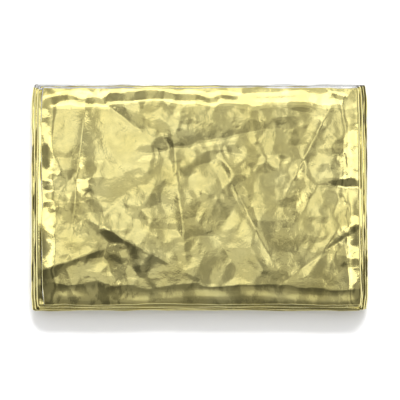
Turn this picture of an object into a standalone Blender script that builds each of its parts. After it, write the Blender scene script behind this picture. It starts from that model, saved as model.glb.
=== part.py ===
"""Emergency foil blanket, folded flat.

One sheet of film runs back and forth in ten passes and turns over at its two X ends. It
lies on its back, flat on the surface, as a soft block with rounded shoulders and uneven
turns. Metres, +Z up, with the origin at the centre of the base.
"""

import math

import bmesh
import bpy
from mathutils import Vector

MM = 0.001

# Sizes in millimetres
LENGTH = 131.2  # over the turns at the two X ends
WIDTH = 88.6  # over the widest pass, along Y
SHEET = 1.0  # thickness of one pass
RIM_GAP = 0.32  # air between passes at the rim, where the stack is pressed thin
LOFT = 0.29  # how much wider that air is in the middle of the stack
SHOULDER = 10.0  # how far in from the rim the stack is rounded over
CURL = 0.8  # how far the stack's rim curls up from the surface
CURL_RUN = 6.0  # how far in from the rim that curl starts
CORNER_PULL = 1.4  # how far a turn draws back at its corners
CORNER_RUN = 9.0  # the length of turn that draws back
WAVER = 0.5  # how far a turn or a long edge wavers inwards
SAG = 0.25  # share by which the air in the middle of the stack varies
SAG_LENGTH = 132.0  # from one full place to the next along X
SAG_WIDTH = 94.0  # from one full place to the next along Y

# The ends of the passes, from the bottom free end to the top one. They lie left, right,
# left and so on. All but the first and the last are turns.
ENDS = (
    # inset from LENGTH, slant of the back corner outwards
    (2.2, 0.4),
    (0.9, -0.5),
    (1.0, 0.3),
    (0.0, 0.4),
    (0.0, -0.4),
    (1.0, 0.3),
    (1.3, 0.5),
    (2.2, -0.4),
    (2.6, 0.3),
    (3.6, -0.6),
    (4.8, 0.7),
)
INSET, SLANT = range(2)

# The long edges of each pass, from the bottom up.
PASSES = (
    # inset of the front edge from WIDTH, inset of the back edge
    (1.5, 1.1),
    (0.7, 0.9),
    (0.3, 0.2),
    (0.8, 0.0),
    (0.0, 0.6),
    (0.5, 0.3),
    (0.2, 1.1),
    (1.3, 0.7),
    (1.2, 1.9),
    (2.3, 1.8),
)
FRONT, BACK = range(2)

# The waves that make up that wavering.
WAVES = (
    # wavelength along the edge, share of WAVER, turn of phase from one layer to the next
    (107.0, 0.64, 2.3),
    (46.0, 0.36, -1.7),
)

# Faces of the grid that is folded
RUN_STEPS = 8  # along each pass
TURN_STEPS = 6  # round each turn
CROSS_STEPS = 10  # from front to back


def ease(share):
    """0 up to share 0, 1 from share 1 on, and a smooth step between."""
    share = min(max(share, 0.0), 1.0)
    return share * share * (3.0 - 2.0 * share)


def between(low, high, share):
    return low + (high - low) * share


def bunched(share):
    """The same share, with its even steps drawn together towards 0 and 1."""
    return 0.5 - 0.5 * math.cos(math.pi * share)


def inside(x, y, run):
    """0 at the stack's rim, rising to 1 at this distance in from it, on all four sides."""
    from_end = LENGTH / 2 - abs(x)
    from_edge = WIDTH / 2 - abs(y)
    return ease(from_end / run) * ease(from_edge / run)


def wave(place, wavelength, phase=0.0):
    """A sine that runs from 0 to 1 and back in one wavelength."""
    return 0.5 + 0.5 * math.sin(2 * math.pi * place / wavelength + phase)


def wavering(place, number):
    """How far an edge wavers inwards at a place along it, unlike from one layer to the next."""
    return WAVER * sum(
        share * wave(place, wavelength, phase * number) for wavelength, share, phase in WAVES
    )


def height(number, x, y):
    """The middle of this pass: the passes and gaps under it, on the curl of the rim."""
    fullness = 1.0 - SAG * wave(x, SAG_LENGTH) * wave(y, SAG_WIDTH)
    gap = RIM_GAP + LOFT * fullness * inside(x, y, SHOULDER)
    curl = CURL * (1.0 - inside(x, y, CURL_RUN))
    return SHEET / 2 + number * (SHEET + gap) + curl


def side_of(end):
    """1 where this end lies at +X, and -1 where it lies at -X."""
    return 1 if end % 2 else -1


def reach(end, y):
    """The outermost X of this end, drawn back at its corners and uneven between them."""
    inset, slant = ENDS[end][INSET], ENDS[end][SLANT]
    corner = CORNER_PULL * (1.0 - ease((WIDTH / 2 - abs(y)) / CORNER_RUN)) ** 2
    out = LENGTH / 2 - inset - corner - wavering(y, end) + slant * y / WIDTH
    return side_of(end) * out


def run_end(end, y):
    """The X at which a pass's run meets this end: a turn's centre, or the cut edge."""
    if end in (0, len(PASSES)):
        return reach(end, y)
    return reach(end, y) - side_of(end) * (SHEET + (SHEET + RIM_GAP)) / 2


def edge_y(number, across, x):
    """The Y at this share of the way from the front edge of a pass to its back edge."""
    front = -WIDTH / 2 + PASSES[number][FRONT] + wavering(x, number)
    back = WIDTH / 2 - PASSES[number][BACK] - wavering(x, number + 0.5)
    return between(front, back, across)


def on_run(number, along, across):
    """A point on the flat of a pass, at shares of the way along the strip and across it."""
    nominal = between(side_of(number), side_of(number + 1), along) * LENGTH / 2
    y = edge_y(number, across, nominal)
    x = between(run_end(number, y), run_end(number + 1, y), along)
    return Vector((x, y, height(number, x, y)))


def on_turn(end, along, across):
    """A point round a turn: half an ellipse up from one pass to the next."""
    side = side_of(end)
    low_y = edge_y(end - 1, across, side * LENGTH / 2)
    high_y = edge_y(end, across, side * LENGTH / 2)
    y = between(low_y, high_y, ease(along))
    centre = run_end(end, y)
    low, high = height(end - 1, centre, y), height(end, centre, y)
    x = centre + side * (SHEET + RIM_GAP) / 2 * math.sin(math.pi * along)
    z = between(low, high, bunched(along))
    return Vector((x, y, z))


def rows_of_strip():
    """The grid's rows along the strip: what each lies on, its number and its share of it."""
    rows = []
    for number in range(len(PASSES)):
        if number:
            rows += [(on_turn, number, step / TURN_STEPS) for step in range(1, TURN_STEPS)]
        rows += [(on_run, number, bunched(step / RUN_STEPS)) for step in range(RUN_STEPS + 1)]
    return rows


def folded_sheet():
    """The sheet's middle surface: a flat grid whose rows are carried along the folds."""
    rows = rows_of_strip()
    grid = bmesh.new()
    bmesh.ops.create_grid(grid, x_segments=len(rows) - 1, y_segments=CROSS_STEPS, size=0.5)
    for vertex in grid.verts:
        place, number, along = rows[round((vertex.co.x + 0.5) * (len(rows) - 1))]
        vertex.co = place(number, along, bunched(vertex.co.y + 0.5))
    middle_x = (min(v.co.x for v in grid.verts) + max(v.co.x for v in grid.verts)) / 2
    middle_y = (min(v.co.y for v in grid.verts) + max(v.co.y for v in grid.verts)) / 2
    for vertex in grid.verts:
        vertex.co = (vertex.co - Vector((middle_x, middle_y, 0.0))) * MM
    mesh = bpy.data.meshes.new("folded_blanket")
    grid.to_mesh(mesh)
    grid.free()
    mesh.shade_smooth()
    return mesh


def gold_film():
    """The metallised film, gold on the side that the folds turn out."""
    film = bpy.data.materials.new("gold_film")
    film.use_nodes = True
    shader = film.node_tree.nodes["Principled BSDF"]
    shader.inputs["Base Color"].default_value = (0.72, 0.52, 0.15, 1.0)
    shader.inputs["Metallic"].default_value = 1.0
    shader.inputs["Roughness"].default_value = 0.25
    return film


def main():
    for item in list(bpy.data.objects):
        bpy.data.objects.remove(item)
    collection = bpy.data.collections.new("emergency_foil_blanket")
    bpy.context.scene.collection.children.link(collection)

    blanket = bpy.data.objects.new("folded_blanket", folded_sheet())
    blanket.data.materials.append(gold_film())
    thickness = blanket.modifiers.new("thickness", "SOLIDIFY")
    thickness.thickness = SHEET * MM
    thickness.offset = 0.0
    thickness.use_even_offset = True
    collection.objects.link(blanket)


main()
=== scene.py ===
"""Looks of the folded emergency foil blanket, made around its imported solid.

The film is folded twice. Folded across, it is a strip of four plies; folded along, that
strip runs back and forth in ten passes, which are the passes of the solid. A place on the
film is given by two numbers. strip counts passes along the strip, from 0 at the bottom free
end to 10 at the top one, and ply counts plies across it, from 0 at one cut edge to 4 at the
other. Every surface here is a grid of such places, carried to where the folds put them.

Lengths of the film are in millimetres until a mesh is made. The floor, the lamps and the
camera are in metres. +X is the long side, +Y the back, +Z up.
"""

import math

import bpy
import numpy as np
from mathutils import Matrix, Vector


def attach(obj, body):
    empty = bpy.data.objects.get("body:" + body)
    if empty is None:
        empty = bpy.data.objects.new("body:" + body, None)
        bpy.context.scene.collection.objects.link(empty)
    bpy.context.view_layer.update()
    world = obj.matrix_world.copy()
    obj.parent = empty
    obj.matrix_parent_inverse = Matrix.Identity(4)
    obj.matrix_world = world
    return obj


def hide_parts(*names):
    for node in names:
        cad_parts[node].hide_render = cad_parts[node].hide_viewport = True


MM = 0.001
NODE = "folded_blanket"

# The stack, as in the solid but for its corners
LENGTH = 131.2  # over the turns at the two X ends
WIDTH = 88.6  # over the widest pass, along Y
SHEET = 1.0  # thickness of one pass
RIM_GAP = 0.32  # air between passes at the rim
LOFT = 0.29  # how much wider that air is in the middle of the stack
SHOULDER = 10.0  # how far in from the rim the stack is rounded over
CURL = 0.8  # how far the stack's rim curls up from the surface
CURL_RUN = 6.0  # how far in from the rim that curl starts
CORNER_PULL = 0.6  # how far a turn draws back at its corners, less than in the solid
CORNER_RUN = 9.0  # the length of turn that draws back
WAVER = 0.5  # how far a turn or a long edge wavers inwards
SAG = 0.25  # share by which the air in the middle of the stack varies
SAG_LENGTH = 132.0  # from one full place to the next along X
SAG_WIDTH = 94.0  # from one full place to the next along Y

# The ends of the passes, from the bottom free end to the top one, left and right in turn.
ENDS = np.array(
    (
        # inset from LENGTH, slant of the back corner outwards
        (2.2, 0.4),
        (0.9, -0.5),
        (1.0, 0.3),
        (0.0, 0.4),
        (0.0, -0.4),
        (1.0, 0.3),
        (1.3, 0.5),
        (2.2, -0.4),
        (2.6, 0.3),
        (3.6, -0.6),
        (4.8, 0.7),
    )
)
INSET, SLANT = range(2)

# The long edges of each pass, from the bottom up.
PASSES = np.array(
    (
        # inset of the front edge from WIDTH, inset of the back edge
        (1.5, 1.1),
        (0.7, 0.9),
        (0.3, 0.2),
        (0.8, 0.0),
        (0.0, 0.6),
        (0.5, 0.3),
        (0.2, 1.1),
        (1.3, 0.7),
        (1.2, 1.9),
        (2.3, 1.8),
    )
)
FRONT, BACK = range(2)
LAST = len(PASSES) - 1

# The waves that make up that wavering.
WAVES = (
    # wavelength along the edge, share of WAVER, turn of phase from one layer to the next
    (107.0, 0.64, 2.3),
    (46.0, 0.36, -1.7),
)

# The film
PLIES = 4
FILM = 0.12  # drawn thickness of a ply, which stands for the air-packed film it is made of
PLY_PITCH = (SHEET - FILM) / (PLIES - 1)
TURN_SHARE = 0.012  # half of a turn's share of a pass, counted along the strip
BEND_SHARE = 0.012  # half of a cross fold's share of a ply, counted across it

# How far each edge of the plies stops short of its pass's edge. Odd ones are the folds at the
# front, even ones the fold and the two cut edges at the back.
PLY_INSETS = np.array((0.45, 0.0, 0.1, 0.25, 0.8))
END_INSETS = np.array((0.35, 0.15, 0.0, 0.5))  # and of the plies at the two free ends

# Unevenness is read from smooth noise, which has many layers, each with a pattern of its own.
NOISE_SEED = 11
NOISE_LAYERS = 101
NOISE_SIZE = 64  # points along a side of a layer's lattice
NOISE = np.random.default_rng(NOISE_SEED).uniform(-1.0, 1.0, (NOISE_LAYERS, NOISE_SIZE, NOISE_SIZE))
NOISE_START = (20.37, 20.71)  # where on that lattice the middle of the stack lies
FACET_START = (20.3, 20.8)  # and where it lies on a net of facets

# Unevenness along an edge, as rows of the first layer, how far the pattern shifts from one pass
# to the next, the length of a wave, and its depth.
TURN_CRINKLES = ((20, 3.7, 8.0, 0.16), (40, 1.9, 2.6, 0.07))  # of the turns
EDGE_CRINKLES = ((7, 2.3, 9.0, 0.22), (31, 4.1, 2.8, 0.08))  # of the long edges
CREVICE_WAVES = ((83, 5.1, 6.5, 1.2), (85, 2.3, 2.4, 0.5))  # of how open a crevice's painted shade is
WEAR_AND_SHADE_WAVES = ((90, 7.3, 6.0, 1.4),)  # of how dark a turn's line is, partly wear and partly painted shade

# Unevenness all over, as rows of the layer, the length of a wave, and its depth.
SHOULDER_WAVES = ((95, 15.0, 0.16), (97, 6.0, 0.08))  # share by which the shoulder's width varies
PASS_WAVES = (0, 13.0, 0.07)  # up and down, with a layer for each pass from this one on
PLY_WAVES = (70, 17.0, 0.13)  # share by which the plies of a pass are squeezed, in the same way
CUT_WAVES = (60, 6.0, 0.25)  # along the cut ends, with a layer for each ply from this one on
CUT_LINE = 5.0  # the line across those layers that the cut ends follow
LIVELY_WAVES = (80, 21.0, 0.8)  # of how lively the face is

# The main creases of the face. A height below zero is a trough.
CREASES = (
    # middle X and Y, heading in degrees, half length, half width, height
    (-46.0, 12.0, 84.0, 34.0, 2.2, -0.25),
    (-22.0, -20.0, 152.0, 30.0, 2.6, 0.22),
    (4.0, 21.0, 12.0, 38.0, 3.0, -0.21),
    (20.0, -10.0, 118.0, 32.0, 2.4, -0.26),
    (42.0, 18.0, 63.0, 27.0, 2.0, 0.25),
    (47.0, -22.0, 35.0, 26.0, 2.6, -0.22),
    (-8.0, 2.0, 96.0, 30.0, 2.0, 0.21),
    (-50.0, -25.0, 20.0, 20.0, 2.2, 0.24),
    (30.0, 34.0, 168.0, 24.0, 2.0, -0.18),
    (-34.0, 34.0, 142.0, 22.0, 2.2, -0.21),
    (8.0, -35.0, 4.0, 30.0, 2.0, 0.18),
    (56.0, 4.0, 92.0, 24.0, 1.8, -0.21),
)
CREASE_ROUNDING = 0.3  # how far a crease's line is rounded over
CREASE_FADE = 1.6  # how steeply a crease fades out towards its two ends

# The crumpled film, as nets of flat facets: layer of noise, size of a facet, and how far its
# corners stand up or down. The first nets are pressed through to the passes below, and the
# others lie in the face.
PRESSED_FACETS = ((3, 17.0, 0.26), (6, 9.0, 0.16))
FACE_FACETS = ((9, 5.6, 0.135), (12, 3.1, 0.052), (15, 1.9, 0.016))
FACET_BEND = 0.42  # how far a net is bent, as a share of the facet's size
FACET_BEND_LENGTH = 1.6  # length of that bend's waves, in facets
SINK_POWER = 3  # how fast what is pressed through fades, from pass to pass downwards
RIM_SINK = 0.45  # share of it that is left at the rim

FACE_LIFT = 0.20  # how far the face stands off the ply under it
FACE_TOUCH = 0.06  # how softly the face is stopped where it comes down to that ply
FACE_CALMEST = 0.35  # share of the facets' height that is left in the calmest places
FACE_LIVELY = 0.5  # how far from there to their full height they are on the whole

# The painted shade of the crevice on a pass, along the line of the turn above it
CREVICE_UNDER = 0.6  # how far in under that turn it starts
CREVICE_START = 0.2  # the run over which it darkens there
CREVICE_WIDTH = (0.34, 0.92)  # from that line outwards, where it is closed and where it gapes
CREVICE_CORE = 0.4  # share of that width before it starts to fade
CREVICE_OPEN = 0.38  # how open it is on the whole
CREVICE_FAINT = 0.55  # how dark it is where it is closed

# Darkening along the folds, from 0 to 1: partly wear, partly painted shade
TURN_WEAR_AND_SHADE = (0.30, 1.0)  # on a turn's line, at its least and most
TURN_WEAR_AND_SHADE_MEAN = 0.45  # where between those two it lies on the whole
TURN_WEAR_AND_SHADE_POWER = 12  # how narrow that line is
BEND_WEAR_AND_SHADE = 0.6  # on a cross fold's line

# Grids: steps along a pass, and across each ply, of which the two inner ones hardly show
PASS_STEPS = 60
TOP_STEPS = 96
FACE_STEPS = 240
PLY_STEPS = (60, 10, 10, 60)
FACE_PLY_STEPS = (166,) * PLIES
TURN_STEPS = 12  # round a turn
BEND_STEPS = 6  # round a cross fold
CLOSE_STEPS = 10  # where a pass leaves its turn
CLOSE_RUN = 0.020  # share of a pass that those closer steps take
NEAR_DOUBLE = 0.001  # a row or column this near to the first or the last one is left out

# Where the film is cut into pieces, counted along the strip and across it
LOWER_CUTS = (0.0, 3.37, 6.61)
SEAM_RUN = 0.03  # how far beyond its turn, and beyond its cross fold, the top ply goes on
TOP_CUT = LAST - TURN_SHARE - SEAM_RUN
FACE_CUT = 1.0 + BEND_SHARE + SEAM_RUN
HAIR = 0.0002  # how far apart two pieces are at a cut

# The two sides of the film. Their darkest shade is laid along the folds, partly for wear and
# partly as painted shade, and in the crevices as painted shade.
GOLD_SIDE = dict(
    deep=(0.87, 0.74, 0.24),
    pale=(0.95, 0.88, 0.42),
    worn_and_shaded=(0.10, 0.08, 0.012),
    roughness=(0.05, 0.13),
)
SILVER_SIDE = dict(
    deep=(0.66, 0.66, 0.64),
    pale=(0.80, 0.80, 0.79),
    worn_and_shaded=(0.30, 0.29, 0.27),
    roughness=(0.12, 0.26),
)

# The floor
FLOOR_REACH = 3.0
FLOOR_COLOUR = (0.90, 0.90, 0.90)
FLOOR_ROUGHNESS = 0.7

# The lamps, all aimed at the blanket
SOFT_BOXES = (
    # name, place, size, power, whether it lights the floor alone
    ("back_box", (-0.08, 0.50, 0.86), (0.80, 0.22), 0.52, False),
    ("right_box", (0.56, 0.05, 0.86), (0.10, 0.80), 0.28, False),
    ("left_box", (-0.54, 0.10, 0.86), (0.10, 0.80), 0.28, False),
    ("floor_box", (0.05, 0.64, 0.85), (0.34, 0.12), 8.0, True),
    ("floor_fill", (0.0, 0.0, 1.4), (2.4, 2.4), 15.5, True),
)

# The surroundings that the film mirrors, as ramps of (place, grey) stops. A place is a share of
# the way from straight down to straight up, from the front to the back, or from left to right.
SKY_UP = ((0.0, 0.8), (0.55, 0.8), (0.60, 0.60), (0.72, 0.52), (0.82, 0.75), (1.0, 1.0))
SKY_BACK = (
    (0.0, 0.9),
    (0.12, 0.85),
    (0.26, 0.32),
    (0.36, 0.20),
    (0.44, 0.18),
    (0.474, 0.24),
    (0.480, 0.62),
    (0.525, 0.50),
    (0.531, 1.0),
    (0.59, 0.75),
    (0.596, 1.18),
    (0.66, 1.18),
    (0.8, 0.8),
    (1.0, 0.8),
)
SKY_SIDE = (
    (0.0, 0.9),
    (0.17, 0.45),
    (0.33, 0.9),
    (0.39, 0.4),
    (0.450, 0.5),
    (0.456, 1.1),
    (0.508, 0.95),
    (0.514, 0.55),
    (0.560, 0.45),
    (0.566, 1.05),
    (0.60, 0.9),
    (0.63, 0.4),
    (0.70, 1.1),
    (0.85, 0.45),
    (1.0, 0.9),
)
BAND_STRENGTH = ((0.0, 0.6), (0.76, 0.6), (0.88, 1.0), (1.0, 1.0))  # from down to up
BETWEEN_BANDS = (0.70, 0.70, 0.70, 1.0)  # what the bands blend into where they are weaker
SKY_STRENGTH = 1.05

# The camera
FRAME_WIDTH = 0.1531  # what the width of the picture covers at the face
CAMERA_TARGET = Vector((0.0002, -0.0015, 0.013))
CAMERA_TIP = math.radians(3.0)  # from straight above towards the front
LENS = 150.0
SENSOR = 36.0


def ease(share):
    """0 up to share 0, 1 from share 1 on, and a smooth step between."""
    share = np.clip(share, 0.0, 1.0)
    return share * share * (3.0 - 2.0 * share)


def between(low, high, share):
    """The value at this share of the way from low to high."""
    return low + (high - low) * share


def bunched(share):
    """The same share, with its even steps drawn together towards 0 and 1."""
    return 0.5 - 0.5 * np.cos(np.pi * share)


def lattice(layer, column, row):
    """The random value, from -1 to 1, at a point of a layer's square lattice."""
    layer = np.mod(layer, NOISE_LAYERS)
    return NOISE[layer, np.mod(column, NOISE_SIZE), np.mod(row, NOISE_SIZE)]


def noise(layer, x, y, size):
    """Smooth unevenness from -1 to 1: random values on a square lattice of this size, one
    lattice for each layer, eased from each lattice point to the next."""
    u, v = x / size + NOISE_START[0], y / size + NOISE_START[1]
    column, row = np.floor(u).astype(int), np.floor(v).astype(int)
    along, across = ease(u - column), ease(v - row)
    near = between(lattice(layer, column, row), lattice(layer, column + 1, row), along)
    far = between(lattice(layer, column, row + 1), lattice(layer, column + 1, row + 1), along)
    return between(near, far, across)


def crinkled(crinkles, layer, place, number):
    """How far crinkles draw an edge back at a place along it: noise that only goes inwards,
    added up over the rows of crinkles."""
    return sum(
        depth * (1.0 - noise(layer + first_layer, place, number * shift, length))
        for first_layer, shift, length, depth in crinkles
    )


def comes_and_goes(mean, waves, place, number):
    """A share from 0 to 1 that rises and falls along a turn: its mean and noise, added up over
    the rows of waves, and eased."""
    share = mean
    for first_layer, shift, length, depth in waves:
        share = share + depth * noise(number + first_layer, place, number * shift, length)
    return ease(share)


def inside(x, y, run):
    """0 at the stack's rim, rising to 1 at about this distance in from it, on all four sides.
    The distance wavers, so that the shoulder's line does too."""
    waver = 1.0
    for layer, length, share in SHOULDER_WAVES:
        waver = waver + share * noise(layer, x, y, length)
    from_end = LENGTH / 2 - np.abs(x)
    from_edge = WIDTH / 2 - np.abs(y)
    return ease(from_end * waver / run) * ease(from_edge * waver / run)


def wave(place, wavelength, phase=0.0):
    """A sine that runs from 0 to 1 and back in one wavelength."""
    return 0.5 + 0.5 * np.sin(2 * math.pi * place / wavelength + phase)


def wavering(place, number):
    """How far an edge wavers inwards at a place along it, unlike from one layer to the next."""
    return WAVER * sum(
        share * wave(place, wavelength, phase * number) for wavelength, share, phase in WAVES
    )


def facets(layer, x, y, size):
    """Flat facets that meet at sharp ridges, from -1 to 1: random heights at the corners of a
    net of triangles of this size, joined by straight slopes, in places bent by smooth noise."""
    bend, bend_length = FACET_BEND * size, FACET_BEND_LENGTH * size
    bent_x = x + bend * noise(layer + 1, x, y, bend_length)
    bent_y = y + bend * noise(layer + 2, x, y, bend_length)
    u = (bent_x - bent_y / math.sqrt(3)) / size + FACET_START[0]
    v = 2 * bent_y / math.sqrt(3) / size + FACET_START[1]
    column, row = np.floor(u).astype(int), np.floor(v).astype(int)
    along, across = u - column, v - row
    far_half = along + across > 1.0

    near_corner, far_corner = lattice(layer, column, row), lattice(layer, column + 1, row + 1)
    right, left = lattice(layer, column + 1, row), lattice(layer, column, row + 1)
    near = near_corner * (1.0 - along - across) + right * along + left * across
    far = far_corner * (along + across - 1.0) + left * (1.0 - along) + right * (1.0 - across)
    return np.where(far_half, far, near)


def creases(x, y):
    """The main creases added up. Each falls off evenly from its line, with its ridge a little
    rounded, and fades out at both ends."""
    total = np.zeros(np.broadcast(x, y).shape)
    for middle_x, middle_y, heading, half_length, half_width, height_there in CREASES:
        turn = math.radians(heading)
        dx, dy = x - middle_x, y - middle_y
        along = dx * math.cos(turn) + dy * math.sin(turn)
        off = np.hypot(dy * math.cos(turn) - dx * math.sin(turn), CREASE_ROUNDING)
        fade = ease((1.0 - np.abs(along) / half_length) * CREASE_FADE)
        total += height_there * np.exp(-off / half_width) * fade
    return total


def pressed(x, y):
    """What the face's creases and large facets press into the passes below."""
    large = sum(high * facets(layer, x, y, size) for layer, size, high in PRESSED_FACETS)
    return creases(x, y) + large


def height(number, x, y):
    """The middle of a pass: the passes and gaps under it, on the curl of the rim, with the
    air shared out unevenly and the face's creases sinking in less from pass to pass."""
    fullness = 1.0 - SAG * wave(x, SAG_LENGTH) * wave(y, SAG_WIDTH)
    middle = inside(x, y, SHOULDER)
    gap = RIM_GAP + LOFT * fullness * middle
    curl = CURL * (1.0 - inside(x, y, CURL_RUN))
    layer, length, depth = PASS_WAVES
    uneven = depth * noise(layer + number, x, y, length) * np.minimum(number, 1)
    sunk = pressed(x, y) * (number / LAST) ** SINK_POWER * between(RIM_SINK, 1.0, middle)
    return SHEET / 2 + number * (SHEET + gap) + curl + uneven + sunk


def side_of(end):
    """1 where this end lies at +X, and -1 where it lies at -X."""
    return np.where(np.mod(end, 2) == 1, 1.0, -1.0)


def reach(end, y):
    """The outermost X of this end, drawn back at its corners and uneven between them."""
    corner = CORNER_PULL * (1.0 - ease((WIDTH / 2 - np.abs(y)) / CORNER_RUN)) ** 2
    drawn_in = crinkled(TURN_CRINKLES, end, y, end)
    out = LENGTH / 2 - ENDS[end, INSET] - corner - wavering(y, end) - drawn_in
    return side_of(end) * (out + ENDS[end, SLANT] * y / WIDTH)


def run_end(end, y, ply):
    """The X at which a pass's run meets this end: a turn's centre, or the cut edge of a ply."""
    free = (end == 0) | (end == LAST + 1)
    layer, length, depth = CUT_WAVES
    cut_edge = END_INSETS[ply] + depth * noise(layer + ply, y, CUT_LINE, length)
    turn_centre = (SHEET + (SHEET + RIM_GAP)) / 2
    return reach(end, y) - side_of(end) * np.where(free, cut_edge, turn_centre)


def ply_edge(number, edge, x):
    """The Y of this edge of the plies in a pass: odd edges lie at the front, even at the back."""
    at_back = np.mod(edge, 2) == 0
    inset = np.where(at_back, PASSES[number, BACK], PASSES[number, FRONT])
    waver = wavering(x, number + np.where(at_back, 0.5, 0.0))
    drawn_in = crinkled(EDGE_CRINKLES, number * (PLIES + 1) + edge, x, number)
    out = WIDTH / 2 - inset - waver - PLY_INSETS[edge] - drawn_in
    return np.where(at_back, out, -out)


def run_or_turn(place, count, share):
    """Splits places counted in runs into (is it a turn, its number, share of the way through
    it). Turn n lies between run n - 1 and run n, and takes this share of each."""
    number = np.clip(np.floor(place + share).astype(int), 0, count - 1)
    is_turn = (place < number + share) & (number > 0)
    start = np.where(number > 0, number + share, 0.0)
    end = np.where(number < count - 1, number + 1 - share, float(count))
    round_turn = (place - number + share) / (2 * share)
    along_run = (place - start) / (end - start)
    return is_turn, number, np.clip(np.where(is_turn, round_turn, along_run), 0.0, 1.0)


def across_plies(number, ply, x):
    """(Y, offset from the middle of the strip) of places across the plies of a pass. A ply is
    straight from edge to edge, and a fold between two is a half circle."""
    is_bend, which, along = run_or_turn(ply, PLIES, BEND_SHARE)
    radius = PLY_PITCH / 2
    into = np.where(np.mod(which, 2) == 0, -1.0, 1.0)
    first = ply_edge(number, which, x) + np.where(which > 0, into * radius, 0.0)
    second = ply_edge(number, which + 1, x) + np.where(which < PLIES - 1, -into * radius, 0.0)
    level = (which - (PLIES - 1) / 2) * PLY_PITCH
    round_y = first - into * radius * np.sin(np.pi * along)
    round_level = level - PLY_PITCH * (1.0 - bunched(along))
    y = np.where(is_bend, round_y, between(first, second, along))
    return y, np.where(is_bend, round_level, level)


def painted_crevice_shade(number, x, y):
    """Painted shade on a pass where the turn above it overhangs it: how dark it is, 1 right at
    that turn's line, fading outwards over a width that opens and closes along the turn."""
    above = np.minimum(number + 2, LAST + 1)
    beyond = side_of(number) * x - np.abs(reach(above, y))
    opened = comes_and_goes(CREVICE_OPEN, CREVICE_WAVES, y, number)
    width = between(*CREVICE_WIDTH, opened)
    core, fade = CREVICE_CORE * width, (1.0 - CREVICE_CORE) * width
    dark = ease((beyond + CREVICE_UNDER) / CREVICE_START) * (1.0 - ease((beyond - core) / fade))
    return np.where(number < LAST, dark * between(CREVICE_FAINT, 1.0, opened), 0.0)


def wear_and_shade(is_turn, number, along, ply, x, y):
    """How far each place lies into a fold or a crevice, from 0 on the flat to 1 on its line: a
    sine over each fold, raised to a high power over a turn, whose line is narrow and uneven. The
    film is darkened by it: along the folds partly for wear and partly as painted shade, and in a
    crevice as painted shade."""
    is_bend, _, along_bend = run_or_turn(ply, PLIES, BEND_SHARE)
    on_turn = np.where(is_turn, np.sin(np.pi * along) ** TURN_WEAR_AND_SHADE_POWER, 0.0)
    rubbed_and_shaded = between(*TURN_WEAR_AND_SHADE, comes_and_goes(TURN_WEAR_AND_SHADE_MEAN, WEAR_AND_SHADE_WAVES, y, number))
    on_bend = BEND_WEAR_AND_SHADE * np.where(is_bend, np.sin(np.pi * along_bend), 0.0)
    return np.maximum(np.maximum(on_turn * rubbed_and_shaded, on_bend), painted_crevice_shade(number, x, y))


def folded(strip, ply):
    """Carries places on the film, a column of strip counts by a row of ply counts, to where
    the folds put them. The middle of the strip runs straight along a pass and round half an
    ellipse at a turn, and each ply stands off it at right angles. Gives X, Y, Z, the unit
    (X, Z) that points out of the strip on the side of its last ply, and how far the film is
    darkened there by wear and painted shade."""
    is_turn, number, along = run_or_turn(strip, LAST + 1, TURN_SHARE)
    below = np.maximum(number - 1, 0)
    here, there = side_of(number), side_of(number + 1)
    nominal = np.where(is_turn, here, between(here, there, along)) * LENGTH / 2

    y, level = across_plies(number, ply, nominal)
    y_below, _ = across_plies(below, ply, nominal)
    y = np.where(is_turn, between(y_below, y, ease(along)), y)

    which = np.clip(np.floor(ply), 0, PLIES - 1).astype(int)
    centre = run_end(number, y, which)
    run_x = between(centre, run_end(number + 1, y, which), along)
    run_z = height(number, run_x, y)
    round_x = centre + here * (SHEET + RIM_GAP) / 2 * np.sin(np.pi * along)
    round_z = between(height(below, centre, y), height(number, centre, y), bunched(along))
    x, z = np.where(is_turn, round_x, run_x), np.where(is_turn, round_z, run_z)

    step_x, step_z = np.gradient(x, axis=0), np.gradient(z, axis=0)
    size = np.hypot(step_x, step_z)
    out_x, out_z = -step_z / size, step_x / size
    layer, length, depth = PLY_WAVES
    packed = 1.0 - depth * (1.0 + noise(layer + number, x, y, length))
    # The darkening laid on the film here: partly wear and partly painted shade along the folds,
    # painted shade in the crevices
    worn_and_shaded = wear_and_shade(is_turn, number, along, ply, x, y)
    return x + out_x * level * packed, y, z + out_z * level * packed, out_x, out_z, worn_and_shaded


def face_relief(strip, ply, x, y):
    """How far the face stands out: its facets over a small lift, none of it below the ply
    underneath, fading out round the right turn and round the front fold."""
    up_turn = ease((strip - LAST + TURN_SHARE) / (2 * TURN_SHARE))
    over_front = ease((1.0 + BEND_SHARE - ply) / (2 * BEND_SHARE))
    layer, length, depth = LIVELY_WAVES
    lively = between(FACE_CALMEST, 1.0, ease(FACE_LIVELY + depth * noise(layer, x, y, length)))
    fine = sum(high * facets(layer, x, y, size) for layer, size, high in FACE_FACETS)
    raised = FACE_LIFT + lively * fine
    return up_turn * over_front * (np.hypot(raised, FACE_TOUCH) + raised) / 2


def nodes_of(material):
    """A material's node tree and the shader in it."""
    material.use_nodes = True
    tree = material.node_tree
    return tree, tree.nodes["Principled BSDF"]


def add_node(tree, kind, inputs, **settings):
    """A new node of this kind, with its settings, and with each input given a value or joined
    to another node's output."""
    node = tree.nodes.new(kind)
    for name, value in settings.items():
        setattr(node, name, value)
    for name, value in inputs.items():
        if isinstance(value, bpy.types.NodeSocket):
            tree.links.new(value, node.inputs[name])
        else:
            node.inputs[name].default_value = value
    return node


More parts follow.
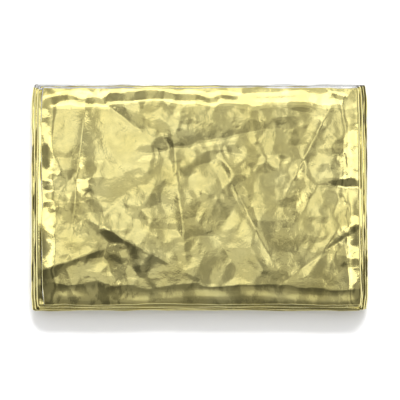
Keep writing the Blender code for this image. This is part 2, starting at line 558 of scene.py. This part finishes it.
def film_material(name, deep, pale, worn_and_shaded, roughness):
    """Metallised film: two shades in soft patches, a darker one along the fold lines, partly for
    wear and partly as painted shade, and in the crevices as painted shade, gloss that varies,
    and fine crinkles."""
    film = bpy.data.materials.new(name)
    tree, shader = nodes_of(film)
    shader.inputs["Metallic"].default_value = 1.0
    place = tree.nodes.new("ShaderNodeTexCoord").outputs["Object"]

    patches = add_node(tree, "ShaderNodeTexNoise", {"Vector": place, "Scale": 70.0, "Detail": 3.0})
    shade = add_node(
        tree,
        "ShaderNodeMix",
        {"Factor": patches.outputs["Fac"], "A": (*deep, 1.0), "B": (*pale, 1.0)},
        data_type="RGBA",
    )
    # Darkens the colour towards its darkest shade where this attribute is high: partly wear and
    # partly painted shade along the folds, painted shade in the crevices
    folds = tree.nodes.new("ShaderNodeAttribute")
    folds.attribute_name = "fold_wear_and_shade"
    darkness = add_node(
        tree,
        "ShaderNodeMapRange",
        {"Value": folds.outputs["Fac"], "From Min": 0.25, "From Max": 0.85, "To Max": 0.88},
        interpolation_type="SMOOTHSTEP",
    )
    tinted = add_node(
        tree,
        "ShaderNodeMix",
        {"Factor": darkness.outputs["Result"], "A": shade.outputs["Result"], "B": (*worn_and_shaded, 1.0)},
        data_type="RGBA",
    )
    tree.links.new(tinted.outputs["Result"], shader.inputs["Base Color"])

    scuffs = add_node(tree, "ShaderNodeTexNoise", {"Vector": place, "Scale": 320.0, "Detail": 4.0})
    least, most = roughness
    gloss = add_node(
        tree,
        "ShaderNodeMapRange",
        {
            "Value": scuffs.outputs["Fac"],
            "From Min": 0.3,
            "From Max": 0.7,
            "To Min": least,
            "To Max": most,
        },
    )
    tree.links.new(gloss.outputs["Result"], shader.inputs["Roughness"])

    grain = add_node(
        tree,
        "ShaderNodeTexNoise",
        {"Vector": place, "Scale": 520.0, "Detail": 3.0, "Roughness": 0.6},
    )
    crinkles = add_node(
        tree,
        "ShaderNodeBump",
        {"Height": grain.outputs["Fac"], "Strength": 1.0, "Distance": 0.000025},
    )
    tree.links.new(crinkles.outputs["Normal"], shader.inputs["Normal"])
    return film


def grid_places(first, last, run_steps, share, turn_steps, close_steps=0):
    """Places counted in runs, from first to last, one for each row or column of a grid. A run
    has the steps that it is given, drawn together a little towards both ends, a turn has even
    ones, and where a run leaves its turn it may have closer ones too."""
    count = len(run_steps)
    places = []
    for number, steps in enumerate(run_steps):
        start = number + share if number else 0.0
        end = number + 1 - share if number < count - 1 else float(count)
        close_end = start + (CLOSE_RUN if close_steps else 0.0)
        even = np.linspace(0.0, 1.0, steps + 1)
        places.append(between(start, close_end, np.linspace(0.0, 1.0, close_steps + 1)))
        places.append(between(close_end, end, between(even, bunched(even), 0.5)))
        if number < count - 1:
            places.append(np.linspace(end, number + 1 + share, turn_steps + 1))
    places = np.concatenate(places)
    places = places[(places > first + NEAR_DOUBLE) & (places < last - NEAR_DOUBLE)]
    return np.unique(np.round(np.concatenate((places, (first, last))), 6))


def along_strip(first, last, pass_steps, close_steps=0):
    """The rows of a grid, as places counted in passes along the strip."""
    run_steps = (pass_steps,) * len(PASSES)
    return grid_places(first, last, run_steps, TURN_SHARE, TURN_STEPS, close_steps)


def across_strip(first, last, ply_steps):
    """The columns of a grid, as places counted in plies across the strip."""
    return grid_places(first, last, ply_steps, BEND_SHARE, BEND_STEPS)


def grid_mesh(name, x, y, z):
    """A mesh of the quads of a grid of points, facing the gold side of the film."""
    rows, columns = x.shape
    points = np.stack((x, y, z), axis=-1).reshape(-1, 3) * MM
    corner = (np.arange(rows - 1)[:, None] * columns + np.arange(columns - 1)).ravel()
    quads = np.stack((corner, corner + columns, corner + columns + 1, corner + 1), axis=1)
    mesh = bpy.data.meshes.new(name)
    mesh.from_pydata(points, [], quads)
    mesh.shade_smooth()
    return mesh


def film_piece(name, strip, ply, sides, relief=None):
    """A stretch of the film as a closed piece: its grid of points, pushed out on the side of
    the first ply by the relief if there is one, and thickened, gold outside and silver inside."""
    x, y, z, out_x, out_z, worn_and_shaded = folded(strip[:, None], ply[None, :])
    if relief is not None:
        lift = relief(strip[:, None], ply[None, :], x, y)
        x, z = x - out_x * lift, z - out_z * lift
    piece = bpy.data.objects.new(name, grid_mesh(name, x, y, z))
    # How far each point is darkened: partly wear and partly painted shade along the folds, painted
    # shade in the crevices
    fold_wear_and_shade = piece.data.attributes.new("fold_wear_and_shade", "FLOAT", "POINT")
    fold_wear_and_shade.data.foreach_set("value", worn_and_shaded.ravel().astype(np.float32))
    for side in sides:
        piece.data.materials.append(side)
    bpy.context.scene.collection.objects.link(piece)
    thick = piece.modifiers.new("film", "SOLIDIFY")
    thick.thickness = FILM * MM
    thick.offset = 0.0
    thick.material_offset = 1
    thick.material_offset_rim = 1
    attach(piece, "root")
    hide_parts(NODE)
    return piece


def blanket():
    """The folded film in five pieces, from the bottom up: the lower passes in three, then the
    lower plies of the top pass, and last the ply that is its face."""
    sides = (film_material("gold_side", **GOLD_SIDE), film_material("silver_side", **SILVER_SIDE))
    columns = across_strip(0.0, PLIES, PLY_STEPS)
    cuts = (*LOWER_CUTS, TOP_CUT)
    for number, (first, last) in enumerate(zip(cuts, cuts[1:])):
        rows = along_strip(first, last - HAIR, PASS_STEPS, CLOSE_STEPS)
        passes = film_piece(f"foil_passes_{number + 1}", rows, columns, sides)

    rows = along_strip(TOP_CUT, LAST + 1, TOP_STEPS)
    columns = across_strip(FACE_CUT + HAIR, PLIES, PLY_STEPS)
    top_pass = film_piece("foil_top_pass", rows, columns, sides)

    rows = along_strip(TOP_CUT, LAST + 1, FACE_STEPS)
    columns = across_strip(0.0, FACE_CUT, FACE_PLY_STEPS)
    face = film_piece("foil_face", rows, columns, sides, face_relief)


def plain_material(name, colour, roughness):
    """A matt material of one colour, for the floor."""
    material = bpy.data.materials.new(name)
    _, shader = nodes_of(material)
    shader.inputs["Base Color"].default_value = (*colour, 1.0)
    shader.inputs["Roughness"].default_value = roughness
    return material


def floor():
    """A plain pale floor, far wider than the view."""
    mesh = bpy.data.meshes.new("floor")
    far = FLOOR_REACH
    corners = [(-far, -far, 0), (far, -far, 0), (far, far, 0), (-far, far, 0)]
    mesh.from_pydata(corners, [], [(0, 1, 2, 3)])
    mesh.materials.append(plain_material("pale_floor", FLOOR_COLOUR, FLOOR_ROUGHNESS))
    plane = bpy.data.objects.new("floor", mesh)
    bpy.context.scene.collection.objects.link(plane)
    return plane


def softbox(name, place, size, power):
    """A rectangular soft box at this place, aimed at the blanket."""
    light = bpy.data.lights.new(name, "AREA")
    light.shape = "RECTANGLE"
    light.size, light.size_y = size
    light.energy = power
    lamp = bpy.data.objects.new(name, light)
    lamp.location = place
    lamp.rotation_euler = (-lamp.location).to_track_quat("-Z", "Y").to_euler()
    bpy.context.scene.collection.objects.link(lamp)
    return lamp


def light_only(lamp, receiver):
    """Keeps this lamp's light to one thing, though everything still casts its shadow there."""
    lit = bpy.data.collections.new(f"lit_by_{lamp.name}")
    lit.objects.link(receiver)
    lamp.light_linking.receiver_collection = lit


def shades(tree, place, stops):
    """A ramp of greys over a place from 0 to 1, eased from each (place, grey) stop to the next."""
    ramp = add_node(tree, "ShaderNodeValToRGB", {"Fac": place})
    ramp.color_ramp.interpolation = "EASE"
    elements = ramp.color_ramp.elements
    for element, (position, grey) in zip(elements, (stops[0], stops[-1])):
        element.position = position
        element.color = (grey, grey, grey, 1.0)
    for position, grey in stops[1:-1]:
        elements.new(position).color = (grey, grey, grey, 1.0)
    return ramp.outputs["Color"]


def product(tree, first, second):
    """Two colours multiplied."""
    both = add_node(tree, "ShaderNodeVectorMath", {0: first, 1: second}, operation="MULTIPLY")
    return both.outputs[0]


def surroundings():
    """What the film mirrors: a grey for how high a direction points, times bands with sharp
    edges that cross overhead and are weaker towards the horizon."""
    world = bpy.data.worlds.new("studio")
    bpy.context.scene.world = world
    world.use_nodes = True
    tree = world.node_tree
    direction = tree.nodes.new("ShaderNodeTexCoord").outputs["Generated"]
    half = (0.5, 0.5, 0.5)
    shares = add_node(
        tree,
        "ShaderNodeVectorMath",
        {0: direction, 1: half, 2: half},
        operation="MULTIPLY_ADD",
    )
    split = add_node(tree, "ShaderNodeSeparateXYZ", {"Vector": shares.outputs[0]})
    side, back, up = (split.outputs[axis] for axis in "XYZ")
    crossed = product(tree, shades(tree, back, SKY_BACK), shades(tree, side, SKY_SIDE))
    bands = add_node(
        tree,
        "ShaderNodeMix",
        {"Factor": shades(tree, up, BAND_STRENGTH), "A": BETWEEN_BANDS, "B": crossed},
        data_type="RGBA",
    )
    sky = product(tree, shades(tree, up, SKY_UP), bands.outputs["Result"])
    background = tree.nodes["Background"]
    tree.links.new(sky, background.inputs["Color"])
    background.inputs["Strength"].default_value = SKY_STRENGTH


def studio(ground):
    """Soft boxes behind, left and right, lamps that whiten the floor and cast the short soft
    shadow on it, and the surroundings."""
    for name, place, size, power, floor_alone in SOFT_BOXES:
        lamp = softbox(name, place, size, power)
        if floor_alone:
            light_only(lamp, ground)
    surroundings()
    bpy.context.scene.view_settings.view_transform = "Standard"


def camera():
    """Almost straight above, tipped a few degrees towards the front."""
    data = bpy.data.cameras.new("camera")
    data.lens = LENS
    data.sensor_width = SENSOR
    view = bpy.data.objects.new("camera", data)
    distance = LENS / SENSOR * FRAME_WIDTH
    back_off = Vector((0.0, -math.sin(CAMERA_TIP), math.cos(CAMERA_TIP)))
    view.location = CAMERA_TARGET + distance * back_off
    view.rotation_euler = (CAMERA_TIP, 0.0, 0.0)
    bpy.context.scene.collection.objects.link(view)
    bpy.context.scene.camera = view


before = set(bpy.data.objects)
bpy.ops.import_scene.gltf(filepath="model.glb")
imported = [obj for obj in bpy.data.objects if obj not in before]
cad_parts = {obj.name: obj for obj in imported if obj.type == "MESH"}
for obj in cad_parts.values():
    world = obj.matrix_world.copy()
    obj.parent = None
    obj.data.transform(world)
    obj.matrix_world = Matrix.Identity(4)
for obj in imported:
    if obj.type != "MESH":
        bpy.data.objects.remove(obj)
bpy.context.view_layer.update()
blanket()
studio(floor())
camera()
